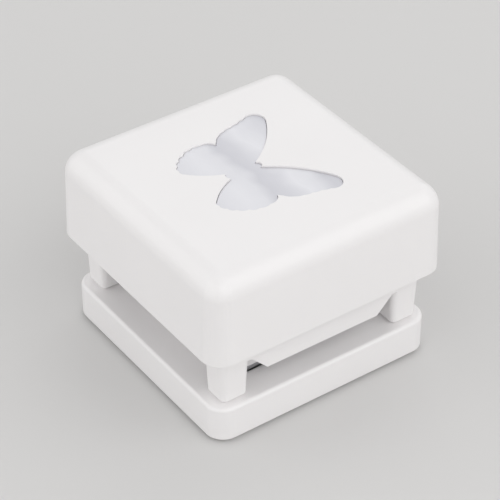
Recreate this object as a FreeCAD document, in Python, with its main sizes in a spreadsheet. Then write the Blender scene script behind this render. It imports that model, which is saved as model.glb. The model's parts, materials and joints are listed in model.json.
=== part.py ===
"""Craft punch that cuts a butterfly: a pressing head on four magnetic legs, over a slim die base.

Millimetres, +Z up. The origin is on the table, under the middle of the punch. +Y is the way the
butterfly's head points and +X is its right wing. Three bodies move on each other: the base stands
on the table, the leg frame lifts off it, and the cap slides down over the leg frame.
"""
import FreeCAD
import Part
import Sketcher

import math
import os

doc = FreeCAD.newDocument("craft_punch")

# ---------------------------------------------------------------- driving dimensions
SIZES = [
    ("cap_height", 21.6, "lower edge to pressing face"),
    ("cap_corner_radius", 5.0, "upright corners"),
    ("cap_edge_radius", 5.3, "round between the walls and the pressing face"),
    ("cap_draft_angle", 1.7, "degrees, each wall leaning in"),
    ("cap_wall", 2.0, ""),
    ("cap_top_wall", 3.0, ""),
    ("stroke", 6.5, "how far the cap presses down"),
    ("leg_reach", 14.2, "how far the legs stand below the cap"),
    ("leg_width", 8.0, "square, at the top"),
    ("leg_corner_radius", 2.0, "at the top"),
    ("leg_draft_angle", 2.6, "degrees"),
    ("leg_foot_chamfer", 0.6, ""),
    ("leg_outset", 2.8, "leg centre beyond the guide's sides"),
    ("leg_gap", 1.0, "leg to the guide's front and back"),
    ("frame_margin", 0.4, "deck beyond the legs, all round"),
    ("frame_gap", 0.8, "deck to the inside of the cap's side walls"),
    ("frame_corner_radius", 3.2, ""),
    ("skirt_drop", 8.7, "side skirt below the cap's lower edge"),
    ("skirt_wall", 1.6, ""),
    ("skirt_inset", 0.4, "skirt inside the legs' outer faces"),
    ("skirt_slope", 4.2, "run and rise of the skirt's cut corners"),
    ("deck_lift", 2.8, "deck above the cap's lower edge"),
    ("deck_thickness", 2.5, ""),
    ("rib_depth", 4.0, "ribs under the deck"),
    ("rib_width", 1.4, ""),
    ("guide_wall", 2.35, "wall of the ram guide"),
    ("guide_floor", 5.0, "foot of the ram guide"),
    ("guide_opening_margin", 0.8, "butterfly to the guide's foot opening"),
    ("press_clearance", 2.8, "left over the guide with the cap pressed"),
    ("running_clearance", 0.15, "ram in its guide, each side"),
    ("butterfly_span", 33.6, "wing tip to wing tip"),
    ("inlay_recess", 0.9, ""),
    ("inlay_thickness", 0.5, ""),
    ("inlay_gap", 0.12, "round the inlay"),
    ("ram_margin", 1.7, "butterfly to the ram's sides"),
    ("ram_corner_radius", 3.0, ""),
    ("ram_wall", 2.2, ""),
    ("ram_floor", 4.0, ""),
    ("ram_clearance", 1.5, "ram over the guide's foot, pressed"),
    ("ram_boss_radius", 2.9, ""),
    ("punch_retreat", 1.0, "punch face above the stripper at rest"),
    ("punch_relief", 0.8, "hollow of the cutting face, so that it shears"),
    ("die_clearance", 0.05, "punch to die"),
    ("stripper_clearance", 0.15, "punch to stripper"),
    ("stripper_thickness", 1.0, ""),
    ("paper_gap", 0.5, "stripper above the die"),
    ("die_thickness", 2.0, ""),
    ("die_land", 1.0, "depth of the sharp part of the die"),
    ("die_relief", 0.35, "widening below the land"),
    ("pin_radius", 1.5, "guide pins"),
    ("pin_spacing", 23.0, "between the guide pins, along X"),
    ("pin_clearance", 0.06, "pin in the deck, all round"),
    ("pin_boss_radius", 2.4, "boss inside the spring"),
    ("pin_boss_height", 2.2, "above the deck"),
    ("pin_bush_radius", 3.4, "boss below the deck"),
    ("pin_bush_length", 2.5, "below the deck"),
    ("pin_grip", 2.6, "pin held in the cap"),
    ("pin_end_length", 1.2, "pin past its clip"),
    ("spring_seat_height", 2.0, "cap boss over each spring"),
    ("spring_radius", 3.0, "middle of the wire"),
    ("spring_wire", 0.6, "square"),
    ("spring_turns", 5.0, ""),
    ("cap_rib_depth", 2.0, "ribs under the cap's top"),
    ("clip_thickness", 0.6, ""),
    ("clip_radius", 3.0, ""),
    ("clip_mouth", 1.8, "open side of each clip"),
    ("clip_groove_depth", 0.35, ""),
    ("magnet_radius", 2.0, ""),
    ("magnet_height", 3.0, ""),
    ("magnet_recess", 0.3, "magnet above the foot's face"),
    ("magnet_skin", 0.8, "base plastic over each base magnet"),
    ("magnet_gap", 0.05, "magnet in its pocket"),
    ("magnet_wall", 1.2, "round each base magnet"),
    ("foot_height", 1.0, "rubber feet below the base"),
    ("foot_radius", 4.0, ""),
    ("foot_sink", 0.5, "rubber feet let into the cover"),
    ("foot_chamfer", 0.4, ""),
    ("foot_inset", 7.5, "base side to foot centre"),
    ("base_height", 8.5, ""),
    ("base_inset", 2.0, "base side inside the cap's face"),
    ("base_corner_radius", 4.5, ""),
    ("base_edge_radius", 0.9, ""),
    ("base_wall", 2.0, ""),
    ("base_deck", 2.6, ""),
    ("die_shelf", 1.5, "under the die"),
    ("die_skin", 0.5, "steel left over the die's screw holes"),
    ("cover_thickness", 1.6, ""),
    ("cover_gap", 0.15, "cover in the base, each side"),
    ("cover_screw_inset", 4.6, "base side to cover screw"),
    ("cover_screw_spacing", 20.0, "along Y"),
    ("cover_screw_bite", 3.5, "in the base"),
    ("screw_radius", 1.0, "small screws"),
    ("screw_head_radius", 1.9, ""),
    ("screw_head_height", 1.0, ""),
    ("screw_boss_radius", 2.6, ""),
    ("plate_screw_inset", 2.4, "plate edge to screw, along X and Y"),
    ("plate_screw_bite", 4.0, "in the guide's foot"),
    ("ram_screw_x", 9.0, ""),
    ("ram_screw_y", 6.0, ""),
    ("ram_screw_length", 9.0, ""),
    ("punch_screw_x", 5.0, ""),
    ("punch_screw_depth", 5.0, "in the punch"),
    ("sunk", 0.5, "how far solids run into one another before they are joined"),
    ("past", 1.0, "how far a cutter runs past the face it opens"),
]

sheet = doc.addObject("Spreadsheet::Sheet", "sheet")
for row, (alias, value, note) in enumerate(SIZES, start=1):
    sheet.set(f"A{row}", alias)
    sheet.set(f"B{row}", str(value))
    sheet.set(f"C{row}", note)
    sheet.setAlias(f"B{row}", alias)
doc.recompute()


def size(alias):
    """A driving dimension, as an expression."""
    return f"sheet.{alias}"


def value(expression):
    """What an expression comes to with the sheet as it stands."""
    result = sheet.evalExpression(str(expression))
    return float(getattr(result, "Value", result))


def total(*terms):
    """The sum of expressions, as an expression."""
    return "(" + " + ".join(str(term) for term in terms) + ")"


def less(first, *terms):
    """The first expression less the others, as an expression."""
    return "(" + " - ".join([str(first)] + [f"({term})" for term in terms]) + ")"


# ---------------------------------------------------------------- levels and half widths
BASE_BOTTOM = size("foot_height")
BASE_TOP = total(BASE_BOTTOM, size("base_height"))
CAP_BOTTOM = total(BASE_TOP, size("leg_reach"))
CAP_TOP = total(CAP_BOTTOM, size("cap_height"))
CAP_CEILING = less(CAP_TOP, size("cap_top_wall"))
SPRING_SEAT = less(CAP_CEILING, size("spring_seat_height"))
DECK_BOTTOM = total(CAP_BOTTOM, size("deck_lift"))
DECK_TOP = total(DECK_BOTTOM, size("deck_thickness"))
SKIRT_BOTTOM = less(CAP_BOTTOM, size("skirt_drop"))
GUIDE_TOP = less(CAP_CEILING, size("stroke"), size("press_clearance"))
STRIPPER_BOTTOM = total(BASE_TOP, size("paper_gap"))
STRIPPER_TOP = total(STRIPPER_BOTTOM, size("stripper_thickness"))
GUIDE_FLOOR_TOP = total(STRIPPER_TOP, size("guide_floor"))
PUNCH_BOTTOM = total(STRIPPER_TOP, size("punch_retreat"))
RAM_BOTTOM = total(GUIDE_FLOOR_TOP, size("stroke"), size("ram_clearance"))
RAM_FLOOR_TOP = total(RAM_BOTTOM, size("ram_floor"))
DIE_BOTTOM = less(BASE_TOP, size("die_thickness"))
COVER_TOP = total(BASE_BOTTOM, size("cover_thickness"))

# The butterfly is drawn at this span, and reaches this far ahead of and behind its middle.
DRAWN_SPAN = 33.6
DRAWN_REACH = 13.8
WING_HALF_X = f"({size('butterfly_span')} / 2)"
WING_HALF_Y = f"({size('butterfly_span')} * {DRAWN_REACH / DRAWN_SPAN:.6f})"
OPENING_HALF_X = total(WING_HALF_X, size("guide_opening_margin"))
OPENING_HALF_Y = total(WING_HALF_Y, size("guide_opening_margin"))
RAM_HALF_X = total(WING_HALF_X, size("ram_margin"))
RAM_HALF_Y = total(WING_HALF_Y, size("ram_margin"))
GUIDE_INNER_X = total(RAM_HALF_X, size("running_clearance"))
GUIDE_INNER_Y = total(RAM_HALF_Y, size("running_clearance"))
GUIDE_HALF_X = total(GUIDE_INNER_X, size("guide_wall"))
GUIDE_HALF_Y = total(GUIDE_INNER_Y, size("guide_wall"))
PLATE_SCREW_X = less(GUIDE_HALF_X, size("plate_screw_inset"))
PLATE_SCREW_Y = less(GUIDE_HALF_Y, size("plate_screw_inset"))
PLATE_SCREW_LENGTH = total(size("stripper_thickness"), size("plate_screw_bite"))

# The legs stand off the guide's corners, the deck covers the legs, and the cap covers the deck.
# With the sizes above the cap comes to 62 mm square and the base to 58 mm square.
LEG_X = total(GUIDE_HALF_X, size("leg_outset"))
LEG_Y = total(GUIDE_HALF_Y, size("leg_gap"), f"{size('leg_width')} / 2")
FRAME_HALF_X = total(LEG_X, f"{size('leg_width')} / 2", size("frame_margin"))
FRAME_HALF_Y = total(LEG_Y, f"{size('leg_width')} / 2", size("frame_margin"))
HALF_SKIRT = f"({size('skirt_wall')} / 2)"
SKIRT_X = less(FRAME_HALF_X, size("frame_margin"), size("skirt_inset"), HALF_SKIRT)
CAP_INNER_HALF = total(FRAME_HALF_X, size("frame_gap"))
CAP_HALF = total(CAP_INNER_HALF, size("cap_wall"))
BASE_HALF = less(CAP_HALF, size("base_inset"))
HALF_WIRE = f"({size('spring_wire')} / 2)"
SPRING_REACH = total(size("spring_radius"), HALF_WIRE)
PIN_X = f"({size('pin_spacing')} / 2)"
PIN_Y = LEG_Y

CORNERS = {
    "front_left": (-1, -1),
    "front_right": (1, -1),
    "back_right": (1, 1),
    "back_left": (-1, 1),
}

nodes = {}


# ---------------------------------------------------------------- modelling helpers
def node(label, thing):
    """Register an object as a finished piece under its own label."""
    thing.Label = label
    nodes[label] = thing
    return thing


def bind(thing, **expressions):
    """Bind properties of an object to expressions. A double underscore stands for a dot."""
    for name, expression in expressions.items():
        thing.setExpression(name.replace("__", "."), str(expression))
    return thing


def put(thing, x, y, z):
    """Bind an object's place to three expressions."""
    return bind(thing, Placement__Base__x=x, Placement__Base__y=y, Placement__Base__z=z)


def signed(sign, expression):
    """An expression on the positive or the negative side of the middle."""
    return f"({sign} * {expression})"


def cylinder(name, radius, low, high, x="0", y="0"):
    """An upright cylinder between two levels."""
    thing = doc.addObject("Part::Cylinder", name)
    bind(thing, Radius=radius, Height=less(high, low))
    return put(thing, x, y, low)


def cone(name, low_radius, high_radius, low, high, x="0", y="0"):
    """An upright cone frustum between two levels."""
    thing = doc.addObject("Part::Cone", name)
    bind(thing, Radius1=low_radius, Radius2=high_radius, Height=less(high, low))
    return put(thing, x, y, low)


def block(name, x_range, y_range, z_range):
    """A box between two expressions along each axis."""
    thing = doc.addObject("Part::Box", name)
    bind(
        thing,
        Length=less(x_range[1], x_range[0]),
        Width=less(y_range[1], y_range[0]),
        Height=less(z_range[1], z_range[0]),
    )
    return put(thing, x_range[0], y_range[0], z_range[0])


def fuse(name, shapes):
    """One solid from several, or the one that is there."""
    if len(shapes) == 1:
        return shapes[0]
    thing = doc.addObject("Part::MultiFuse", name)
    thing.Shapes = shapes
    thing.Refine = True
    return thing


def cut(name, base, tools):
    """A solid with other solids taken out of it."""
    thing = doc.addObject("Part::Cut", name)
    thing.Base = base
    thing.Tool = fuse(name + "_tools", tools)
    thing.Refine = True
    return thing


def group(name, shapes):
    """Separate solids that share one node."""
    thing = doc.addObject("Part::Compound", name)
    thing.Links = shapes
    return thing


def new_body(name):
    """A PartDesign body."""
    return doc.addObject("PartDesign::Body", name)


def new_sketch(body, name, role, offset):
    """A sketch on one of the body's own origin planes, moved along that plane's normal."""
    plane = next(item for item in body.Origin.OriginFeatures if item.Role == role)
    sketch = body.newObject("Sketcher::SketchObject", name)
    sketch.AttachmentSupport = [(plane, "")]
    sketch.MapMode = "FlatFace"
    sketch.setExpression("AttachmentOffset.Base.z", str(offset))
    return sketch


def dimension(sketch, kind, *arguments, expression):
    """A driving constraint bound to an expression."""
    number = value(expression)
    index = sketch.addConstraint(Sketcher.Constraint(kind, *arguments, number))
    sketch.setExpression(f"Constraints[{index}]", str(expression))


def draw_rounded_rectangle(sketch, half_x, half_y, radius, x="0", y="0"):
    """Four lines and four tangent arcs, held by their distances from the sketch's origin."""
    right, top = value(total(x, half_x)), value(total(y, half_y))
    left, bottom = value(less(x, half_x)), value(less(y, half_y))
    round_by = value(radius)
    corners = [
        (right - round_by, top - round_by, 0),
        (left + round_by, top - round_by, 90),
        (left + round_by, bottom + round_by, 180),
        (right - round_by, bottom + round_by, 270),
    ]
    arcs = []
    for centre_x, centre_y, start in corners:
        circle = Part.Circle(
            FreeCAD.Vector(centre_x, centre_y, 0), FreeCAD.Vector(0, 0, 1), round_by
        )
        arc = Part.ArcOfCircle(circle, math.radians(start), math.radians(start + 90))
        arcs.append(sketch.addGeometry(arc, False))
    lines = []
    for here, there in zip(arcs, arcs[1:] + arcs[:1]):
        start = sketch.getPoint(here, 2)
        end = sketch.getPoint(there, 1)
        lines.append(sketch.addGeometry(Part.LineSegment(start, end), False))
    for index, line in enumerate(lines):
        following = arcs[(index + 1) % len(arcs)]
        sketch.addConstraint(Sketcher.Constraint("Tangent", arcs[index], 2, line, 1))
        sketch.addConstraint(Sketcher.Constraint("Tangent", line, 2, following, 1))
        direction = "Horizontal" if index % 2 == 0 else "Vertical"
        sketch.addConstraint(Sketcher.Constraint(direction, line))
    for arc in arcs[1:]:
        sketch.addConstraint(Sketcher.Constraint("Equal", arcs[0], arc))
    dimension(sketch, "Radius", arcs[0], expression=radius)
    top_line, left_line, bottom_line, right_line = lines
    dimension(sketch, "DistanceX", -1, 1, right_line, 1, expression=total(x, half_x))
    dimension(sketch, "DistanceX", -1, 1, left_line, 1, expression=less(x, half_x))
    dimension(sketch, "DistanceY", -1, 1, top_line, 1, expression=total(y, half_y))
    dimension(sketch, "DistanceY", -1, 1, bottom_line, 1, expression=less(y, half_y))


def rounded_block(name, half_x, half_y, radius, low, high, x="0", y="0", draft="0", edge=None):
    """A padded rounded rectangle, with its walls leaning in and its top edge rounded on request."""
    body = new_body(name)
    sketch = new_sketch(body, name + "_outline", "XY_Plane", low)
    draw_rounded_rectangle(sketch, half_x, half_y, radius, x, y)
    pad = body.newObject("PartDesign::Pad", name + "_pad")
    pad.Profile = sketch
    pad.setExpression("Length", less(high, low))
    pad.setExpression("TaperAngle", str(draft))
    if edge is not None:
        doc.recompute()
        top = value(high)
        names = [
            f"Edge{number}"
            for number, item in enumerate(pad.Shape.Edges, start=1)
            if all(abs(vertex.Z - top) < 1e-4 for vertex in item.Vertexes)
        ]
        fillet = body.newObject("PartDesign::Fillet", name + "_edge")
        fillet.Base = (pad, names)
        fillet.setExpression("Radius", str(edge))
        body.Tip = fillet
    return body


# ---------------------------------------------------------------- the butterfly
# Its right half, from the top of the head round to the tail. Each step is an arc to (x, y) that
# bows out by the third number; the short repeated arcs are the scallops of the wing edges.
BUTTERFLY_START = (0.0, 2.9)
BUTTERFLY_ARCS = [
    (1.0, 2.0, 0.25),
    (13.3, 13.6, 1.2),
    (16.8, 11.6, 0.95),
    (16.2, 9.7, 0.2),
    (15.6, 7.7, 0.2),
    (15.2, 5.6, 0.2),
    (14.8, 3.5, 0.2),
    (14.0, 1.5, 0.2),
    (12.5, -0.1, 0.2),
    (11.3, -1.0, 0.1),
    (13.3, -4.3, 0.75),
    (13.1, -6.9, 0.4),
    (12.2, -9.0, 0.5),
    (10.9, -11.1, 0.5),
    (9.4, -12.5, 0.45),
    (7.7, -13.3, 0.4),
    (6.0, -12.9, 0.35),
    (1.0, -5.6, 0.55),
    (0.0, -6.1, 0.2),
]


def bowed_arc(start, end, bow):
    """An arc between two points that stands out by bow on the left of the way along it."""
    along = end - start
    outward = FreeCAD.Vector(-along.y, along.x, 0).normalize()
    middle = (start + end) * 0.5 + outward * bow
    return Part.Arc(start, middle, end).toShape()


def butterfly_outline():
    """The closed outline, as a flat wire at the sheet's wing span."""
    scale = value(size("butterfly_span")) / DRAWN_SPAN
    start = FreeCAD.Vector(*BUTTERFLY_START, 0) * scale
    right = []
    for x, y, bow in BUTTERFLY_ARCS:
        end = FreeCAD.Vector(x, y, 0) * scale
        right.append(bowed_arc(start, end, bow * scale))
        start = end
    left = [edge.mirror(FreeCAD.Vector(0, 0, 0), FreeCAD.Vector(1, 0, 0)) for edge in right]
    wire = Part.Wire(Part.__sortEdges__(right + left))
    thing = doc.addObject("Part::Feature", "butterfly_outline")
    thing.Shape = wire
    return thing


outline = butterfly_outline()


def butterfly_prism(name, low, high, grow=None):
    """The butterfly, grown by a clearance where one is given, extruded between two levels."""
    profile = outline
    if grow is not None:
        profile = doc.addObject("Part::Offset2D", name + "_outline")
        profile.Source = outline
        profile.Join = 0
        bind(profile, Value=grow)
    thing = doc.addObject("Part::Extrusion", name)
    thing.Base = profile
    thing.DirMode = "Custom"
    thing.Dir = FreeCAD.Vector(0, 0, 1)
    thing.Solid = True
    bind(thing, LengthFwd=less(high, low))
    return put(thing, "0", "0", low)


# ---------------------------------------------------------------- fasteners
def screw(name, x, y, seat, length, up=True):
    """A countersunk screw, or the hole that it fills: its flat face at a level, its shank beyond."""
    head, radius = size("screw_head_radius"), size("screw_radius")
    depth = size("screw_head_height")
    if up:
        neck = total(seat, depth)
        pieces = [
            cone(name + "_head", head, radius, seat, neck, x, y),
            cylinder(name + "_shank", radius, neck, total(seat, length), x, y),
        ]
    else:
        neck = less(seat, depth)
        pieces = [
            cone(name + "_head", radius, head, neck, seat, x, y),
            cylinder(name + "_shank", radius, less(seat, length), neck, x, y),
        ]
    return fuse(name, pieces)


def plate_screw_places():
    """The four screws through the corners of the stripper and the die."""
    return [
        (corner, signed(x, PLATE_SCREW_X), signed(y, PLATE_SCREW_Y))
        for corner, (x, y) in CORNERS.items()
    ]


def ram_screw_places():
    """The four screws from the cap into the ram, hidden under the inlay."""
    return [
        (corner, signed(x, size("ram_screw_x")), signed(y, size("ram_screw_y")))
        for corner, (x, y) in CORNERS.items()
    ]


def punch_screw_places():
    """The two screws that hold the punch to the ram."""
    return [
        (side, signed(x, size("punch_screw_x")), "0") for side, x in (("left", -1), ("right", 1))
    ]


def pin_places():
    """The four guide pins, in line with the legs along the front and the back."""
    return [
        (corner, signed(x, PIN_X), signed(y, PIN_Y)) for corner, (x, y) in CORNERS.items()
    ]


def leg_places():
    """The four legs."""
    return [
        (corner, signed(x, LEG_X), signed(y, LEG_Y)) for corner, (x, y) in CORNERS.items()
    ]


# ---------------------------------------------------------------- the pressing head
RECESS_FLOOR = less(CAP_TOP, size("inlay_recess"))
RAM_SCREW_LENGTH = size("ram_screw_length")


def make_cap():
    """A drafted, soft-edged square cap, hollow below, with the butterfly sunk in its top."""
    outside = rounded_block(
        "cap_outside", CAP_HALF, CAP_HALF, size("cap_corner_radius"), CAP_BOTTOM, CAP_TOP,
        draft=f"-{size('cap_draft_angle')}", edge=size("cap_edge_radius"),
    )
    inside = rounded_block(
        "cap_inside", CAP_INNER_HALF, CAP_INNER_HALF,
        less(size("cap_corner_radius"), size("cap_wall")), CAP_BOTTOM, CAP_CEILING,
        draft=f"-{size('cap_draft_angle')}",
        edge=less(size("cap_edge_radius"), size("cap_wall")),
    )
    shell = cut("cap_shell", outside, [inside])
    seats = [
        cylinder(f"cap_seat_{corner}", SPRING_REACH, SPRING_SEAT,
                 total(CAP_CEILING, size("sunk")), x, y)
        for corner, x, y in pin_places()
    ]
    rib_levels = (less(CAP_CEILING, size("cap_rib_depth")), total(CAP_CEILING, size("sunk")))
    half = f"({size('rib_width')} / 2)"
    wall_middle = less(CAP_INNER_HALF, size("cap_edge_radius"))
    across = (f"(-1 * {half})", half)
    for name, sign in (("low", -1), ("high", 1)):
        along_x = [signed(sign, RAM_HALF_X), signed(sign, wall_middle)]
        along_y = [signed(sign, RAM_HALF_Y), signed(sign, wall_middle)]
        seats.append(block(f"cap_rib_x_{name}", along_x[::sign], across, rib_levels))
        seats.append(block(f"cap_rib_y_{name}", across, along_y[::sign], rib_levels))
    tools = [butterfly_prism("cap_recess", RECESS_FLOOR, total(CAP_TOP, size("past")),
                             size("inlay_gap"))]
    for corner, x, y in ram_screw_places():
        tools.append(screw(f"cap_hole_{corner}", x, y, RECESS_FLOOR, RAM_SCREW_LENGTH, up=False))
    for corner, x, y in pin_places():
        tools.append(cylinder(f"cap_pin_hole_{corner}", size("pin_radius"),
                              less(SPRING_SEAT, size("past")),
                              total(SPRING_SEAT, size("pin_grip")), x, y))
    node("cap", cut("cap_solid", fuse("cap_filled", [shell] + seats), tools))


def make_inlay():
    """The thin silver butterfly that lies in the cap's recess and hides the ram screws."""
    node("butterfly_inlay", butterfly_prism(
        "inlay_solid", RECESS_FLOOR, total(RECESS_FLOOR, size("inlay_thickness"))))


def make_ram():
    """The open-topped block that slides in the guide and carries the punch."""
    outside = rounded_block("ram_outside", RAM_HALF_X, RAM_HALF_Y, size("ram_corner_radius"),
                            RAM_BOTTOM, CAP_CEILING)
    inner_radius = less(size("ram_corner_radius"), size("ram_wall"))
    inside = rounded_block("ram_inside", less(RAM_HALF_X, size("ram_wall")),
                           less(RAM_HALF_Y, size("ram_wall")), inner_radius,
                           RAM_FLOOR_TOP, total(CAP_CEILING, size("past")))
    shell = cut("ram_shell", outside, [inside])
    foot = less(RAM_FLOOR_TOP, size("sunk"))
    half_rib = f"({size('rib_width')} / 2)"
    wall_middle = less(RAM_HALF_Y, f"{size('ram_wall')} / 2")
    bosses, tools = [], []
    for corner, x, y in ram_screw_places():
        sign_y = CORNERS[corner][1]
        bosses.append(cylinder(f"ram_boss_{corner}", size("ram_boss_radius"), foot,
                               CAP_CEILING, x, y))
        bosses.append(block(f"ram_rib_{corner}", (less(x, half_rib), total(x, half_rib)),
                            (y, signed(sign_y, wall_middle))[::sign_y],
                            (foot, less(CAP_CEILING, size("cap_rib_depth")))))
        tools.append(screw(f"ram_hole_{corner}", x, y, RECESS_FLOOR, RAM_SCREW_LENGTH, up=False))
    for side, x, y in punch_screw_places():
        tools.append(screw(f"ram_punch_hole_{side}", x, y, RAM_FLOOR_TOP,
                           total(size("ram_floor"), size("past")), up=False))
    node("ram", cut("ram_solid", fuse("ram_filled", [shell] + bosses), tools))


def make_punch():
    """The male butterfly: a hollow-ground cutting face below, two threaded holes above."""
    blank = butterfly_prism("punch_blank", PUNCH_BOTTOM, RAM_BOTTOM)
    depth = size("punch_relief")
    radius = f"(({WING_HALF_X}^2 + {depth}^2) / (2 * {depth}))"
    relief = doc.addObject("Part::Cylinder", "punch_relief_cutter")
    bind(relief, Radius=radius, Height=f"2 * {total(WING_HALF_Y, size('past'))}")
    relief.Placement.Rotation = FreeCAD.Rotation(FreeCAD.Vector(1, 0, 0), -90)
    put(relief, "0", signed(-1, total(WING_HALF_Y, size("past"))),
        total(less(PUNCH_BOTTOM, radius), depth))
    tools = [relief]
    for side, x, y in punch_screw_places():
        tools.append(cylinder(f"punch_hole_{side}", size("screw_radius"),
                              less(RAM_BOTTOM, size("punch_screw_depth")),
                              total(RAM_BOTTOM, size("past")), x, y))
    node("punch", cut("punch_solid", blank, tools))


def make_head_screws():
    """Four screws from the cap into the ram, and two from the ram into the punch."""
    node("ram_screws", group("ram_screw_set", [
        screw(f"ram_screw_{corner}", x, y, RECESS_FLOOR, RAM_SCREW_LENGTH, up=False)
        for corner, x, y in ram_screw_places()]))
    length = total(size("ram_floor"), size("punch_screw_depth"))
    node("punch_screws", group("punch_screw_set", [
        screw(f"punch_screw_{side}", x, y, RAM_FLOOR_TOP, length, up=False)
        for side, x, y in punch_screw_places()]))


CLIP_TOP = less(DECK_BOTTOM, size("pin_bush_length"))
CLIP_BOTTOM = less(CLIP_TOP, size("clip_thickness"))
GROOVE_RADIUS = less(size("pin_radius"), size("clip_groove_depth"))


def make_guide_pins():
    """Steel pins fixed in the cap, each with a groove below the deck for its clip."""
    for corner, x, y in pin_places():
        pin_foot = less(CLIP_BOTTOM, size("pin_end_length"))
        node(f"guide_pin_{corner}", fuse(f"pin_{corner}", [
            cylinder(f"pin_end_{corner}", size("pin_radius"), pin_foot, CLIP_BOTTOM, x, y),
            cylinder(f"pin_groove_{corner}", GROOVE_RADIUS, CLIP_BOTTOM, CLIP_TOP, x, y),
            cylinder(f"pin_shank_{corner}", size("pin_radius"), CLIP_TOP,
                     total(SPRING_SEAT, size("pin_grip")), x, y),
        ]))


def make_clips():
    """Spring clips that stop the cap from rising off the leg frame, open on their outer side."""
    clips = []
    levels = (less(CLIP_BOTTOM, size("past")), total(CLIP_TOP, size("past")))
    half_mouth = f"({size('clip_mouth')} / 2)"
    for corner, x, y in pin_places():
        sign_y = CORNERS[corner][1]
        rim = total(y, signed(sign_y, total(size("clip_radius"), size("past"))))
        disc = cylinder(f"clip_disc_{corner}", size("clip_radius"), CLIP_BOTTOM, CLIP_TOP, x, y)
        bore = cylinder(f"clip_bore_{corner}", GROOVE_RADIUS, *levels, x, y)
        mouth = block(f"clip_mouth_{corner}", (less(x, half_mouth), total(x, half_mouth)),
                      (y, rim)[::sign_y], levels)
        clips.append(cut(f"clip_{corner}", disc, [bore, mouth]))
    node("retaining_clips", group("retaining_clip_set", clips))


# ---------------------------------------------------------------- the leg frame
def make_leg(corner, x, y):
    """One tapered leg with a chamfered foot, padded down from the deck."""
    body = new_body(f"leg_{corner}")
    sketch = new_sketch(body, f"leg_{corner}_outline", "XY_Plane", total(DECK_BOTTOM, size("sunk")))
    half = f"({size('leg_width')} / 2)"
    draw_rounded_rectangle(sketch, half, half, size("leg_corner_radius"), x, y)
    pad = body.newObject("PartDesign::Pad", f"leg_{corner}_pad")
    pad.Profile = sketch
    pad.Reversed = True
    pad.setExpression("Length", total(less(DECK_BOTTOM, BASE_TOP), size("sunk")))
    pad.setExpression("TaperAngle", f"-{size('leg_draft_angle')}")
    doc.recompute()
    foot = value(BASE_TOP)
    names = [
        f"Edge{number}"
        for number, item in enumerate(pad.Shape.Edges, start=1)
        if all(abs(vertex.Z - foot) < 1e-4 for vertex in item.Vertexes)
    ]
    chamfer = body.newObject("PartDesign::Chamfer", f"leg_{corner}_foot")
    chamfer.Base = (pad, names)
    chamfer.setExpression("Size", size("leg_foot_chamfer"))
    body.Tip = chamfer
    return body


def make_skirt(name, sign):
    """A side skirt from leg to leg, with its lower corners cut on a slope."""
    body = new_body(name)
    sketch = new_sketch(body, name + "_outline", "YZ_Plane", signed(sign, SKIRT_X))
    low, high = SKIRT_BOTTOM, total(DECK_BOTTOM, size("sunk"))
    step = total(low, size("skirt_slope"))
    end = LEG_Y
    leg_side = less(LEG_Y, f"{size('leg_width')} / 2")
    flat = less(leg_side, size("skirt_slope"))
    half_outline = [(end, high), (end, step), (leg_side, step), (flat, low)]
    corners = half_outline + [(signed(-1, across), up) for across, up in half_outline[::-1]]
    points = [FreeCAD.Vector(value(across), value(up), 0) for across, up in corners]
    lines = [
        sketch.addGeometry(Part.LineSegment(here, there), False)
        for here, there in zip(points, points[1:] + points[:1])
    ]
    for index, line in enumerate(lines):
        following = lines[(index + 1) % len(lines)]
        sketch.addConstraint(Sketcher.Constraint("Coincident", line, 2, following, 1))
    for line, (across, up) in zip(lines, corners):
        dimension(sketch, "DistanceX", -1, 1, line, 1, expression=across)
        dimension(sketch, "DistanceY", -1, 1, line, 1, expression=up)
    pad = body.newObject("PartDesign::Pad", name + "_pad")
    pad.Profile = sketch
    pad.Midplane = True
    pad.setExpression("Length", size("skirt_wall"))
    return body


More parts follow.
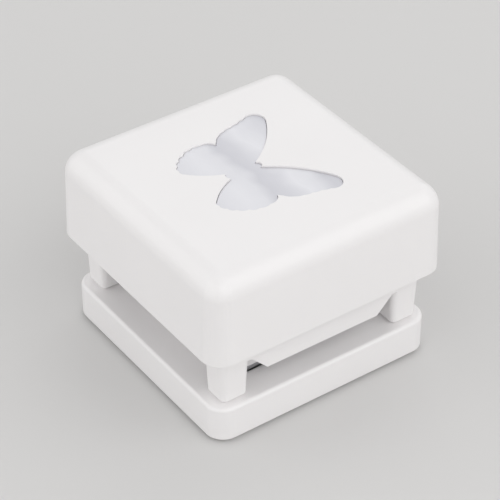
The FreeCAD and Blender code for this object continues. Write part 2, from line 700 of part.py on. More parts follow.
def make_leg_frame():
    """The white frame: a deck on four legs, two side skirts and the square guide for the ram."""
    deck = rounded_block("deck", FRAME_HALF_X, FRAME_HALF_Y, size("frame_corner_radius"),
                         DECK_BOTTOM, DECK_TOP)
    guide = rounded_block("guide", GUIDE_HALF_X, GUIDE_HALF_Y, size("ram_corner_radius"),
                          STRIPPER_TOP, GUIDE_TOP)
    solids = [deck, guide, make_skirt("skirt_left", -1), make_skirt("skirt_right", 1)]
    solids += [make_leg(corner, x, y) for corner, x, y in leg_places()]
    rib_levels = (less(DECK_BOTTOM, size("rib_depth")), total(DECK_BOTTOM, size("sunk")))
    rib_start = less(GUIDE_HALF_X, size("sunk"))
    half_rib = f"({size('rib_width')} / 2)"
    for corner, (sign_x, sign_y) in CORNERS.items():
        middle = signed(sign_y, f"({GUIDE_HALF_Y} / 2)")
        solids.append(block(f"rib_{corner}",
                            (signed(sign_x, rib_start), signed(sign_x, SKIRT_X))[::sign_x],
                            (less(middle, half_rib), total(middle, half_rib)), rib_levels))
    boss_top = total(DECK_TOP, size("pin_boss_height"))
    for corner, x, y in pin_places():
        solids.append(cylinder(f"spring_boss_{corner}", size("pin_boss_radius"),
                               less(DECK_TOP, size("sunk")), boss_top, x, y))
        solids.append(cylinder(f"pin_bush_{corner}", size("pin_bush_radius"), CLIP_TOP,
                               total(DECK_BOTTOM, size("sunk")), x, y))
    channel = rounded_block("guide_channel", GUIDE_INNER_X, GUIDE_INNER_Y, size("ram_corner_radius"),
                            GUIDE_FLOOR_TOP, total(GUIDE_TOP, size("past")))
    opening = rounded_block("guide_opening", OPENING_HALF_X, OPENING_HALF_Y,
                            size("ram_corner_radius"), less(STRIPPER_TOP, size("past")),
                            total(GUIDE_FLOOR_TOP, size("past")))
    tools = [channel, opening]
    for corner, x, y in pin_places():
        tools.append(cylinder(f"pin_way_{corner}",
                              total(size("pin_radius"), size("pin_clearance")),
                              less(CLIP_TOP, size("past")), total(boss_top, size("past")), x, y))
    for corner, x, y in leg_places():
        pocket_top = total(BASE_TOP, size("magnet_recess"), size("magnet_height"))
        tools.append(cylinder(f"leg_pocket_{corner}", total(size("magnet_radius"), size("magnet_gap")),
                              less(BASE_TOP, size("past")), pocket_top, x, y))
    for corner, x, y in plate_screw_places():
        tools.append(cylinder(f"guide_screw_hole_{corner}", size("screw_radius"),
                              less(STRIPPER_TOP, size("sunk")),
                              total(STRIPPER_BOTTOM, PLATE_SCREW_LENGTH), x, y))
    node("leg_frame", cut("leg_frame_solid", fuse("leg_frame_filled", solids), tools))


def make_stripper():
    """The steel plate under the guide that steers the punch and strips the paper off it."""
    plate = rounded_block("stripper_blank", GUIDE_HALF_X, GUIDE_HALF_Y, size("ram_corner_radius"),
                          STRIPPER_BOTTOM, STRIPPER_TOP)
    tools = [butterfly_prism("stripper_opening", less(STRIPPER_BOTTOM, size("past")),
                             total(STRIPPER_TOP, size("past")), size("stripper_clearance"))]
    for corner, x, y in plate_screw_places():
        tools.append(screw(f"stripper_hole_{corner}", x, y, STRIPPER_BOTTOM, PLATE_SCREW_LENGTH))
    node("stripper_plate", cut("stripper_solid", plate, tools))
    node("stripper_screws", group("stripper_screw_set", [
        screw(f"stripper_screw_{corner}", x, y, STRIPPER_BOTTOM, PLATE_SCREW_LENGTH)
        for corner, x, y in plate_screw_places()]))


def make_leg_magnets():
    """A disc magnet pressed into the end of each leg."""
    for corner, x, y in leg_places():
        low = total(BASE_TOP, size("magnet_recess"))
        node(f"leg_magnet_{corner}", cylinder(
            f"leg_magnet_solid_{corner}", size("magnet_radius"), low,
            total(low, size("magnet_height")), x, y))


def make_springs():
    """Compression springs of square wire round the guide pins, from the deck up to the cap."""
    low, high = total(DECK_TOP, HALF_WIRE), less(SPRING_SEAT, HALF_WIRE)
    stand_up = FreeCAD.Rotation(FreeCAD.Vector(1, 0, 0), 90)
    flat_on_deck = FreeCAD.Rotation(FreeCAD.Vector(0, 0, 1), 45)
    for corner, x, y in pin_places():
        helix = doc.addObject("Part::Helix", f"coil_{corner}")
        bind(helix, Pitch=f"{less(high, low)} / {size('spring_turns')}",
             Height=less(high, low), Radius=size("spring_radius"))
        put(helix, x, y, low)
        section = doc.addObject("Part::RegularPolygon", f"spring_wire_{corner}")
        section.Polygon = 4
        bind(section, Circumradius=f"{HALF_WIRE} * sqrt(2)")
        section.Placement.Rotation = stand_up.multiply(flat_on_deck)
        put(section, total(x, size("spring_radius")), y, low)
        doc.recompute([helix, section])
        spring = doc.addObject("Part::Sweep", f"spring_{corner}")
        spring.Sections = [section]
        spring.Spine = (helix, [f"Edge{n + 1}" for n in range(len(helix.Shape.Edges))])
        spring.Solid = True
        spring.Frenet = True
        node(f"return_spring_{corner}", spring)


# ---------------------------------------------------------------- the die base
def base_magnet_levels():
    """The levels of the base magnets, just under the base's top skin."""
    high = less(BASE_TOP, size("magnet_skin"))
    return less(high, size("magnet_height")), high


COVER_HALF = less(BASE_HALF, size("base_wall"), size("cover_gap"))
COVER_SCREW_X = less(BASE_HALF, size("cover_screw_inset"))
COVER_SCREW_Y = f"({size('cover_screw_spacing')} / 2)"
FOOT_PLACE = less(BASE_HALF, size("foot_inset"))
COVER_SCREW_LENGTH = total(size("cover_thickness"), size("cover_screw_bite"))


def cover_screw_places():
    """The four screws from the cover up into the base."""
    return [(corner, signed(x, COVER_SCREW_X), signed(y, COVER_SCREW_Y))
            for corner, (x, y) in CORNERS.items()]


def foot_places():
    """The four rubber feet."""
    return [(corner, signed(x, FOOT_PLACE), signed(y, FOOT_PLACE))
            for corner, (x, y) in CORNERS.items()]


def make_base_shell():
    """The slim base: a soft-edged tray turned over, with a bed for the die let into its top."""
    outside = rounded_block("base_outside", BASE_HALF, BASE_HALF, size("base_corner_radius"),
                            BASE_BOTTOM, BASE_TOP, edge=size("base_edge_radius"))
    inner_half = less(BASE_HALF, size("base_wall"))
    inside = rounded_block("base_inside", inner_half, inner_half,
                           less(size("base_corner_radius"), size("base_wall")),
                           less(BASE_BOTTOM, size("past")), less(BASE_TOP, size("base_deck")))
    shell = cut("base_tray", outside, [inside])
    solids = [shell]
    shelf_low = less(DIE_BOTTOM, size("die_shelf"))
    solids.append(rounded_block("die_bed", total(GUIDE_HALF_X, size("base_wall")),
                                total(GUIDE_HALF_Y, size("base_wall")), size("ram_corner_radius"),
                                shelf_low, less(BASE_TOP, size("magnet_skin"))))
    magnet_low, magnet_high = base_magnet_levels()
    for corner, x, y in leg_places():
        solids.append(cylinder(f"base_magnet_boss_{corner}",
                               total(size("magnet_radius"), size("magnet_wall")),
                               magnet_low, magnet_high, x, y))
    for corner, x, y in cover_screw_places():
        solids.append(cylinder(f"cover_boss_{corner}", size("screw_boss_radius"), COVER_TOP,
                               less(BASE_TOP, size("magnet_skin")), x, y))
    tools = [
        rounded_block("die_recess", GUIDE_HALF_X, GUIDE_HALF_Y, size("ram_corner_radius"),
                      DIE_BOTTOM, total(BASE_TOP, size("past"))),
        rounded_block("chip_way", OPENING_HALF_X, OPENING_HALF_Y, size("ram_corner_radius"),
                      less(BASE_BOTTOM, size("past")), total(BASE_TOP, size("past"))),
    ]
    for corner, x, y in leg_places():
        tools.append(cylinder(f"base_magnet_pocket_{corner}",
                              total(size("magnet_radius"), size("magnet_gap")),
                              less(magnet_low, size("past")), magnet_high, x, y))
    for corner, x, y in cover_screw_places():
        tools.append(cylinder(f"cover_screw_hole_{corner}", size("screw_radius"),
                              less(COVER_TOP, size("past")),
                              total(BASE_BOTTOM, COVER_SCREW_LENGTH), x, y))
    for corner, x, y in plate_screw_places():
        tools.append(cylinder(f"die_screw_way_{corner}", size("screw_radius"),
                              less(shelf_low, size("past")), total(DIE_BOTTOM, size("past")), x, y))
    node("base_shell", cut("base_shell_solid", fuse("base_shell_filled", solids), tools))


def make_die():
    """The female butterfly: a sharp land at the top, and a wider way out for the cut pieces."""
    plate = rounded_block("die_blank", GUIDE_HALF_X, GUIDE_HALF_Y, size("ram_corner_radius"),
                          DIE_BOTTOM, BASE_TOP)
    land = less(BASE_TOP, size("die_land"))
    tools = [
        butterfly_prism("die_edge", less(land, size("sunk")), total(BASE_TOP, size("past")),
                        size("die_clearance")),
        butterfly_prism("die_way", less(DIE_BOTTOM, size("past")), land, size("die_relief")),
    ]
    for corner, x, y in plate_screw_places():
        tools.append(cylinder(f"die_hole_{corner}", size("screw_radius"),
                              less(DIE_BOTTOM, size("past")), less(BASE_TOP, size("die_skin")), x, y))
    node("die_plate", cut("die_solid", plate, tools))
    head_top = less(DIE_BOTTOM, size("die_shelf"))
    screws = []
    for corner, x, y in plate_screw_places():
        screws.append(fuse(f"die_screw_{corner}", [
            cylinder(f"die_screw_head_{corner}", size("screw_head_radius"),
                     less(head_top, size("screw_head_height")), head_top, x, y),
            cylinder(f"die_screw_shank_{corner}", size("screw_radius"), head_top,
                     less(BASE_TOP, size("die_skin")), x, y),
        ]))
    node("die_screws", group("die_screw_set", screws))


def make_base_magnets():
    """A disc magnet under each leg, out of sight below the base's top."""
    low, high = base_magnet_levels()
    for corner, x, y in leg_places():
        node(f"base_magnet_{corner}", cylinder(
            f"base_magnet_solid_{corner}", size("magnet_radius"), low, high, x, y))


def make_bottom_cover():
    """The plate that closes the base, open in the middle for the cut butterflies to drop out."""
    plate = rounded_block("cover_blank", COVER_HALF, COVER_HALF,
                          less(size("base_corner_radius"), size("base_wall")),
                          BASE_BOTTOM, COVER_TOP)
    tools = [rounded_block("cover_opening", OPENING_HALF_X, OPENING_HALF_Y,
                           size("ram_corner_radius"), less(BASE_BOTTOM, size("past")),
                           total(COVER_TOP, size("past")))]
    for corner, x, y in cover_screw_places():
        tools.append(screw(f"cover_hole_{corner}", x, y, BASE_BOTTOM, COVER_SCREW_LENGTH))
    for corner, x, y in foot_places():
        tools.append(cylinder(f"foot_bed_{corner}", size("foot_radius"),
                              less(BASE_BOTTOM, size("past")),
                              total(BASE_BOTTOM, size("foot_sink")), x, y))
    node("bottom_cover", cut("cover_solid", plate, tools))
    node("cover_screws", group("cover_screw_set", [
        screw(f"cover_screw_{corner}", x, y, BASE_BOTTOM, COVER_SCREW_LENGTH)
        for corner, x, y in cover_screw_places()]))


def make_rubber_feet():
    """Four round rubber feet stuck into the cover, with their rims chamfered below."""
    for corner, x, y in foot_places():
        body = new_body(f"foot_{corner}")
        sketch = new_sketch(body, f"foot_{corner}_outline", "XY_Plane", "0")
        circle = Part.Circle(FreeCAD.Vector(value(x), value(y), 0), FreeCAD.Vector(0, 0, 1),
                             value(size("foot_radius")))
        index = sketch.addGeometry(circle, False)
        dimension(sketch, "Radius", index, expression=size("foot_radius"))
        dimension(sketch, "DistanceX", -1, 1, index, 3, expression=x)
        dimension(sketch, "DistanceY", -1, 1, index, 3, expression=y)
        pad = body.newObject("PartDesign::Pad", f"foot_{corner}_pad")
        pad.Profile = sketch
        pad.setExpression("Length", total(BASE_BOTTOM, size("foot_sink")))
        doc.recompute()
        rim = next(
            f"Edge{number}" for number, item in enumerate(pad.Shape.Edges, start=1)
            if all(abs(vertex.Z) < 1e-4 for vertex in item.Vertexes)
        )
        chamfer = body.newObject("PartDesign::Chamfer", f"foot_{corner}_rim")
        chamfer.Base = (pad, [rim])
        chamfer.setExpression("Size", size("foot_chamfer"))
        body.Tip = chamfer
        node(f"rubber_foot_{corner}", body)


# ---------------------------------------------------------------- build, check, write
make_cap()
make_inlay()
make_ram()
make_punch()
make_head_screws()
make_guide_pins()
make_clips()
make_leg_frame()
make_stripper()
make_leg_magnets()
make_springs()
make_base_shell()
make_die()
make_base_magnets()
make_bottom_cover()
make_rubber_feet()
doc.recompute()

failed = [
    f"{thing.Name}: {thing.State}"
    for thing in doc.Objects
    if "Invalid" in thing.State or "Error" in thing.State
]
for label, thing in nodes.items():
    shape = thing.Shape
    if shape.isNull() or not shape.isValid() or not shape.Solids:
        failed.append(f"{label}: no valid solid")
if failed:
    raise RuntimeError("not built: " + "; ".join(failed))

os.makedirs("parts", exist_ok=True)
for label, thing in nodes.items():
    thing.Shape.exportStep(os.path.join("parts", label + ".step"))
    solids = len(thing.Shape.Solids)
    print(f"{label:28s} solids {solids}  volume {thing.Shape.Volume:10.2f} mm3")
print(f"{len(nodes)} pieces written")
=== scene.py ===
# %% [markdown]
# # A butterfly craft punch, from a construction model to a picture
#
# This punch cuts butterflies anywhere on a sheet of paper. Its head is a soft-edged white cap on
# four short legs. A slim base lies under the paper with the die in it, and magnets in the legs
# hold the two together. The construction model gives every piece its place and its motion. This
# lesson dresses it: it gives each piece the finish of its real material, softens the edges as a
# mould does, winds the springs, cuts the crosses of the screws, and lights it.

# %% Load the construction model
import json
import math

import bmesh
import bpy
from mathutils import Matrix, Vector


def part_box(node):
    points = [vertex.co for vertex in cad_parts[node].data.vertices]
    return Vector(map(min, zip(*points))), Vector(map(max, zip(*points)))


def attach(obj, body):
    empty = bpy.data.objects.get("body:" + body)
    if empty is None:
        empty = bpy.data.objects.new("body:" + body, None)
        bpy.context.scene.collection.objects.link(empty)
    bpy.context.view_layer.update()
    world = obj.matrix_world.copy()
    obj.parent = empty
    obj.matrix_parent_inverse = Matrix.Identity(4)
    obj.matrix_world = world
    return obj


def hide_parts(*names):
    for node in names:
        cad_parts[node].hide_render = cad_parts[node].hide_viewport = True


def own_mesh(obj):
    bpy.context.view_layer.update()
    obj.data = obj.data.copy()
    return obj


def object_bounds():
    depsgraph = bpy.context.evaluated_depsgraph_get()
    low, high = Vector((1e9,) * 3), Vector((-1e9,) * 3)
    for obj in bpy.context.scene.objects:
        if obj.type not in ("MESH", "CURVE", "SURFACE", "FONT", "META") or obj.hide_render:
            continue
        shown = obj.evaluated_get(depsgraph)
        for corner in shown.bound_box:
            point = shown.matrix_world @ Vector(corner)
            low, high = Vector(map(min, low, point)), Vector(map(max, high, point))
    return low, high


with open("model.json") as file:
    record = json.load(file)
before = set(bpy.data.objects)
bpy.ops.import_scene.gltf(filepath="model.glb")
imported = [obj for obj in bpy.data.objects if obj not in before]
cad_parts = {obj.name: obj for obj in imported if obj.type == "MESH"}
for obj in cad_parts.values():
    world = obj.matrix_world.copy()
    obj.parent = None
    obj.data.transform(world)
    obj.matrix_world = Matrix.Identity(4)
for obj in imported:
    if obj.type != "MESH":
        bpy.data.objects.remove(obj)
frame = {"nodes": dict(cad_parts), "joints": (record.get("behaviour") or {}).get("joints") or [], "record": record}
nodes = frame["nodes"]
cad_low, cad_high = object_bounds()
MM = 0.001
print("construction model:", [round(side / MM, 1) for side in cad_high - cad_low], "mm")

# %% [markdown]
# ## Shader maths written as Python
#
# A material is a graph of nodes, and wiring its maths by hand hides what it says. This small
# class wraps one socket, so that `0.4 + 0.1 * noise` adds the Math nodes that do it, and
# `1 - noise` works as well as `noise - 1`.


# %% A class that wraps a socket
class Wire:
    """One output socket of a material's graph."""

    def __init__(self, graph, socket):
        self.graph = graph
        self.socket = socket

    def _maths(self, operation, *values):
        return self.graph.add("ShaderNodeMath", {"operation": operation}, *values)

    def __add__(self, other):
        return self._maths("ADD", self, other)

    def __sub__(self, other):
        return self._maths("SUBTRACT", self, other)

    def __rsub__(self, other):
        return self._maths("SUBTRACT", other, self)

    def __mul__(self, other):
        return self._maths("MULTIPLY", self, other)

    def __pow__(self, other):
        return self._maths("POWER", self, other)

    def __rpow__(self, other):
        return self._maths("POWER", other, self)

    __radd__ = __add__
    __rmul__ = __mul__

    def swing(self, amount):
        """Noise between 0 and 1 as a swing of an amount, half of it above zero and half below."""
        return amount * (self - 0.5)


print("a wire adds, takes away, multiplies, raises to a power and swings")

# %% [markdown]
# ## A material and the nodes it is made of
#
# A second class holds a material. Its `add` makes any node: the settings come first, because some
# nodes change their sockets with them, and the values or links of the sockets come after. Beside
# it stand the few nodes that nearly every finish here needs. Lengths are given in millimetres,
# so that a grain of 0.3 on the plastic means 0.3 mm.


# %% A class that builds a material
class Graph:
    """A material and the short way to build its nodes."""

    # A Mix node has sockets for numbers and for vectors before those for colours.
    MIX_COLOURS = (6, 7)
    MIX_RESULT = 2

    def __init__(self, name):
        self.material = bpy.data.materials.new(name)
        self.material.use_nodes = True
        self.tree = self.material.node_tree
        self.shader = self.tree.nodes["Principled BSDF"]

    def add(self, kind, settings=None, *values, output=0, **named):
        """Add a node: its settings first, then its sockets, by position or by name."""
        node = self.tree.nodes.new(kind)
        for name, setting in (settings or {}).items():
            if name == "stops":
                self._set_stops(node.color_ramp, setting)
            else:
                setattr(node, name, setting)
        for index, value in enumerate(values):
            self.feed(node.inputs[index], value)
        for name, value in named.items():
            self.feed(node.inputs[name.replace("_", " ")], value)
        return Wire(self, node.outputs[output])

    @staticmethod
    def _set_stops(ramp, stops):
        """Give a colour ramp its stops, each a place and a grey between 0 and 1."""
        while len(ramp.elements) < len(stops):
            ramp.elements.new(0.5)
        for element, (position, shade) in zip(ramp.elements, stops):
            element.position = position
            element.color = (shade, shade, shade, 1)

    def feed(self, socket, value):
        """Link a wire to a socket, or set the socket's own value."""
        if isinstance(value, Wire):
            self.tree.links.new(value.socket, socket)
        else:
            socket.default_value = value

    def set(self, **inputs):
        """Set or link the shader's own sockets."""
        for name, value in inputs.items():
            self.feed(self.shader.inputs[name.replace("_", " ")], value)

    def place(self, scale=(1, 1, 1), turn=(0, 0, 0)):
        """Object coordinates in millimetres, stretched by a scale and then turned by angles."""
        return self.add(
            "ShaderNodeMapping",
            {"vector_type": "POINT"},
            Vector=self.add("ShaderNodeTexCoord", output="Object"),
            Rotation=turn,
            Scale=tuple(by / MM for by in scale),
        )

    def noise(self, vector, size, detail=2.0, roughness=0.5):
        """Soft noise whose blobs are about the given size in millimetres, from 0 to 1."""
        return self.add(
            "ShaderNodeTexNoise", None, Vector=vector, Scale=1 / size, Detail=detail,
            Roughness=roughness,
        )

    def mix(self, amount, first, second):
        """A mix of two colours."""
        node = self.tree.nodes.new("ShaderNodeMix")
        node.data_type = "RGBA"
        self.feed(node.inputs["Factor"], amount)
        for index, value in zip(self.MIX_COLOURS, (first, second)):
            self.feed(node.inputs[index], value if isinstance(value, Wire) else (*value, 1))
        return Wire(self, node.outputs[self.MIX_RESULT])

    def bump(self, height, depth, **under):
        """A bump of a depth in millimetres from a height of 0 to 1, on a Normal where given."""
        return self.add(
            "ShaderNodeBump", None, Strength=1.0, Distance=depth * MM, Height=height, **under
        )


def linear(red, green, blue):
    """A colour given as a screen shows it, from 0 to 255, in the shader's linear values."""
    shades = [value / 255 for value in (red, green, blue)]
    return tuple(s / 12.92 if s <= 0.04045 else ((s + 0.055) / 1.055) ** 2.4 for s in shades)


def darkened(colour, share):
    """A colour darkened to a share of itself."""
    return tuple(shade * share for shade in colour)


print("a graph adds nodes, noise, mixes and bumps")

# %% [markdown]
# ## Moulded plastics
#
# The cap, the frame and the base are moulded. Such a surface is never quite flat: the skin has a
# faint waviness from the steel of the mould, a fine grain that breaks up the highlight, and a few
# hairline rubs from being pressed by fingers. The colour barely varies, so that it reads as one
# solid plastic. A painted image could show all this, but it would need the pieces unwrapped. Noise
# over object coordinates needs no unwrapping, and its grain is equally fine on every face.

# %% Sizes of what a mould leaves, in millimetres
WAVE_SIZE, WAVE_DEPTH = 9.0, 0.02
# A shade is the share of the colour that is left in the darkest parts of a noise.
CLOUD_SIZE, CLOUD_SHADE = 22.0, 0.955
# The rubs are noise whose coordinates are squeezed along one axis, which draws it out long. The
# turn, in radians, only takes them to another part of the noise. They begin to show where the
# noise passes the start, and show fully where it passes the end.
RUB_WIDTH, RUB_SQUEEZE, RUB_TURN = 1.3, 0.06, 0.6
RUB_START, RUB_END = 0.62, 0.78
print("rubs are about", round(RUB_WIDTH / RUB_SQUEEZE), "mm long and", RUB_WIDTH, "mm wide")


# %% A function for moulded plastic
def moulded(name, colour, roughness, grain_size, grain_depth, coat=0.0):
    """Solid-coloured plastic with mould waviness, grain and faint rubs."""
    graph = Graph(name)
    here = graph.place()
    wave = graph.noise(here, WAVE_SIZE, detail=1.0)
    grain = graph.noise(here, grain_size, detail=3.0, roughness=0.6)
    cloud = graph.noise(here, CLOUD_SIZE)
    rub_way = graph.place(scale=(1, RUB_SQUEEZE, 1), turn=(0, 0, RUB_TURN))
    rub = graph.noise(rub_way, RUB_WIDTH, detail=4.0, roughness=0.65)
    rubs = graph.add("ShaderNodeMapRange", {"clamp": True}, rub, RUB_START, RUB_END, 0.0, 1.0)
    graph.set(
        Base_Color=graph.mix(cloud, darkened(colour, CLOUD_SHADE), colour),
        Roughness=roughness + cloud.swing(0.05) + grain.swing(0.08) + 0.07 * rubs,
        Coat_Weight=coat,
        Coat_Roughness=0.12,
        IOR=1.53,
    )
    waviness = graph.bump(wave, WAVE_DEPTH)
    graph.set(Normal=graph.bump(grain, grain_depth, Normal=waviness))
    return graph.material


# %% Mould the four plastics
SHELL_WHITE, FRAME_WHITE = linear(240, 238, 238), linear(241, 239, 239)
RAM_GREY, COVER_GREY = linear(172, 174, 178), linear(214, 213, 209)
shell_plastic = moulded(
    "moulded_white_shell", SHELL_WHITE, roughness=0.33, grain_size=0.35, grain_depth=0.0035,
    coat=0.15,
)
frame_plastic = moulded(
    "moulded_white_frame", FRAME_WHITE, roughness=0.42, grain_size=0.3, grain_depth=0.005
)
ram_plastic = moulded(
    "moulded_grey_ram", RAM_GREY, roughness=0.45, grain_size=0.3, grain_depth=0.005
)
cover_plastic = moulded(
    "moulded_grey_cover", COVER_GREY, roughness=0.5, grain_size=0.22, grain_depth=0.012
)
print("plastics:", shell_plastic.name, frame_plastic.name, ram_plastic.name, cover_plastic.name)

# %% [markdown]
# ## Steels and plating
#
# The cutting tools and the pins are ground and the spring wire is drawn, which leaves fine
# straight lines. Plated pieces such as screws and magnets are smoother and cloudier. Lines could
# be stripes of a Wave node, but those are too even for steel. So the noise that makes them is
# stretched a long way along one axis, and plating is the same noise left round.

# %% Sizes of what grinding and plating leave, in millimetres
STEEL_CLOUD_SIZE, STEEL_SHADE = 6.0, 0.86
PLATING_CLOUD_SIZE, PLATING_SHADE = 1.6, 0.9
PIT_SIZE, PIT_DEPTH = 0.12, 0.002
print("pits in the plating are", PIT_SIZE, "mm wide and", PIT_DEPTH, "mm deep")


# %% Functions for metals
def ground(name, colour, roughness, stretch, line_size, line_depth):
    """Metal with straight fine lines along the axis where the stretch is small."""
    graph = Graph(name)
    lines = graph.noise(graph.place(scale=stretch), line_size, detail=4.0, roughness=0.7)
    cloud = graph.noise(graph.place(), STEEL_CLOUD_SIZE)
    graph.set(
        Base_Color=graph.mix(lines, darkened(colour, STEEL_SHADE), colour),
        Metallic=1.0,
        Roughness=roughness + lines.swing(0.14) + cloud.swing(0.08),
        Normal=graph.bump(lines, line_depth),
    )
    return graph.material


def plated(name, colour, roughness):
    """Bright plating: cloudy roughness and tiny pits."""
    graph = Graph(name)
    here = graph.place()
    cloud = graph.noise(here, PLATING_CLOUD_SIZE, detail=3.0)
    pits = graph.noise(here, PIT_SIZE)
    graph.set(
        Base_Color=graph.mix(cloud, darkened(colour, PLATING_SHADE), colour),
        Metallic=1.0,
        Roughness=roughness + cloud.swing(0.16),
        Normal=graph.bump(pits, PIT_DEPTH),
    )
    return graph.material


# %% Grind and plate the metals
TOOL_GREY, WIRE_GREY = linear(176, 177, 180), linear(150, 151, 154)
PIN_GREY = linear(190, 191, 194)
ZINC_GREY, NICKEL_GREY = linear(186, 188, 192), linear(206, 203, 196)
tool_steel = ground(
    "ground_tool_steel", TOOL_GREY, roughness=0.3, stretch=(0.03, 1, 1), line_size=0.09,
    line_depth=0.002,
)
spring_steel = ground(
    "drawn_spring_wire", WIRE_GREY, roughness=0.32, stretch=(1, 1, 0.4), line_size=0.12,
    line_depth=0.001,
)
pin_steel = ground(
    "ground_pin_steel", PIN_GREY, roughness=0.2, stretch=(1, 1, 0.04), line_size=0.1,
    line_depth=0.001,
)
screw_zinc = plated("zinc_plated_screws", ZINC_GREY, roughness=0.3)
magnet_nickel = plated("nickel_plated_magnets", NICKEL_GREY, roughness=0.18)
print("steels:", tool_steel.name, spring_steel.name, pin_steel.name)
print("platings:", screw_zinc.name, magnet_nickel.name)

# %% [markdown]
# ## Silver sheet
#
# The butterfly on the cap is thin sheet with a satin silver face, brushed from wing to wing. It
# is stamped, so it never lies quite flat, and broad soft bands of painted reflection and painted
# shade cross its colour, darkest over the body and at the tips of the forewings. Bending the mesh
# could give such bands as real light, but they would come and go with the lamps. A colour ramp
# along the body paints them where they are, and noise bends them so that they don't look ruled.

# %% Painted bands of reflection and shade, and brushing of the silver sheet
# Each painted band is a place from the tail at 0 to the head at 1, and how lit it is painted there.
PAINTED_REFLECTION_BANDS = [
    (0.0, 0.7), (0.22, 1.0), (0.38, 0.8), (0.47, 0.1),
    (0.56, 0.3), (0.7, 1.0), (0.84, 0.75), (0.98, 0.1),
]
# The silver where painted reflection lightens it, and where painted shade darkens it.
SILVER_PAINTED_LIGHT, SILVER_PAINTED_SHADE = linear(229, 229, 233), linear(206, 206, 212)
BEND_SIZE, BEND_REACH = 7.0, 5.0
BRUSH_WIDTH, BRUSH_SQUEEZE, BRUSH_DEPTH = 0.16, 0.05, 0.0012
print(len(PAINTED_REFLECTION_BANDS), "bands, bent by up to", BEND_REACH / 2, "mm")


# %% A function for stamped silver sheet
def silver_with_painted_bands(name, light, painted_shade_colour, span):
    """Satin sheet with soft painted bands of reflection and shade across a span in millimetres, from the tail to
    the head.
    """
    graph = Graph(name)
    here = graph.place()
    along = graph.add("ShaderNodeSeparateXYZ", None, here, output=1)
    bend = graph.noise(here, BEND_SIZE, detail=1.0)
    way = graph.add(
        "ShaderNodeMapRange", {"clamp": True}, along + bend.swing(BEND_REACH), -span / 2, span / 2,
        0.0, 1.0,
    )
    painted_bands = graph.add("ShaderNodeValToRGB", {"stops": PAINTED_REFLECTION_BANDS}, way)
    brush_way = graph.place(scale=(BRUSH_SQUEEZE, 1, 1))
    brushing = graph.noise(brush_way, BRUSH_WIDTH, detail=4.0, roughness=0.7)
    # The colour runs from the painted shade to the painted light (the light argument) of the bands.
    shade = graph.mix(painted_bands, painted_shade_colour, light)
    graph.set(
        Base_Color=graph.mix(0.06 * brushing, shade, painted_shade_colour),
        Metallic=0.75,
        Roughness=0.46 + brushing.swing(0.12) + bend.swing(0.06),
        Normal=graph.bump(brushing, BRUSH_DEPTH),
    )
    return graph.material


inlay_low, inlay_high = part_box("butterfly_inlay")
inlay_span = (inlay_high.y - inlay_low.y) / MM
inlay_silver = silver_with_painted_bands("satin_silver_sheet", SILVER_PAINTED_LIGHT, SILVER_PAINTED_SHADE, inlay_span)
print("sheet:", inlay_silver.name, "banded over", round(inlay_span), "mm")

# %% [markdown]
# ## Rubber
#
# The feet are matt black rubber, with a pebbled skin that picks up dust and so looks slightly
# grey on its high spots. One noise serves for the pebbles, for their dust and for their dullness,
# so that the three always fall in the same places.

# %% Pebbles in millimetres, and a function for rubber
PEBBLE_SIZE, PEBBLE_DEPTH = 0.25, 0.02
RUBBER_BLACK, DUST_GREY = linear(38, 38, 40), linear(84, 83, 82)


def rubbery(name, colour, dust):
    """Matt rubber, dusty on its pebbles."""
    graph = Graph(name)
    pebbles = graph.noise(graph.place(), PEBBLE_SIZE)
    graph.set(
        Base_Color=graph.mix(pebbles ** 2.0, colour, dust),
        Roughness=0.75 + 0.15 * pebbles,
        Normal=graph.bump(pebbles, PEBBLE_DEPTH),
    )
    return graph.material


foot_rubber = rubbery("matt_black_rubber", RUBBER_BLACK, DUST_GREY)
print("rubber:", foot_rubber.name)

# %% [markdown]
# ## Finishes onto pieces
#
# The record of the construction model lists a finish slot for each node, so the script needs no
# list of its own. Each slot gets one of the materials above.

# %% Give each construction node its finish
FINISHES = {
    "shell_plastic": shell_plastic,
    "frame_plastic": frame_plastic,
    "ram_plastic": ram_plastic,
    "cover_plastic": cover_plastic,
    "inlay_silver": inlay_silver,
    "tool_steel": tool_steel,
    "spring_steel": spring_steel,
    "pin_steel": pin_steel,
    "screw_zinc": screw_zinc,
    "magnet_nickel": magnet_nickel,
    "foot_rubber": foot_rubber,
}
slot_of = {part["node"]: part["material_slot"] for part in frame["record"]["subparts"]}
body_of = {
    name: body for body, names in frame["record"]["behaviour"]["bodies"].items() for name in names
}


def finish_with(piece, material):
    """Put one material on a piece."""
    piece.data.materials.clear()
    piece.data.materials.append(material)


for name, piece in nodes.items():
    finish_with(piece, FINISHES[slot_of[name]])
print(len(nodes), "nodes finished")

# %% [markdown]
# ## A new piece in a node's place
#
# A construction node is never changed. Where it needs more detail, a new piece is made and stands
# for it: it rides on the same body, so that it moves as the node did, takes its finish slot, and
# the node itself is no longer shown. Every piece below is put in place by `stand_in`.


# %% Functions that gather parts of a shape and let it stand for a node
def each_once(items):
    """The items, each once, in the order in which they come."""
    return list(dict.fromkeys(items))


def stand_in(shape, name, node):
    """A piece made from a bmesh shape, which takes the place, body and finish of a node."""
    mesh = bpy.data.meshes.new(name)
    shape.to_mesh(mesh)
    shape.free()
    mesh.materials.append(FINISHES[slot_of[node]])
    piece = bpy.data.objects.new(name, mesh)
    bpy.context.scene.collection.objects.link(piece)
    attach(piece, body_of[node])
    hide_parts(node)
    return piece


print("a piece can stand for any of", len(body_of), "nodes")

# %% [markdown]
# ## Edges as a mould or a stamp leaves them
#
# A construction model has knife edges where faces meet. A real moulding has a small round there,
# and that round is what catches the light and makes the piece look solid. A Bevel modifier could
# make it, but the mesh of a node is loose triangles, and it would find no edge to work on. So a
# copy of the mesh is merged, its flat faces are joined up again, and its sharp edges are bevelled
# with an operator. The punch itself is left as it is, because its edges are ground sharp.

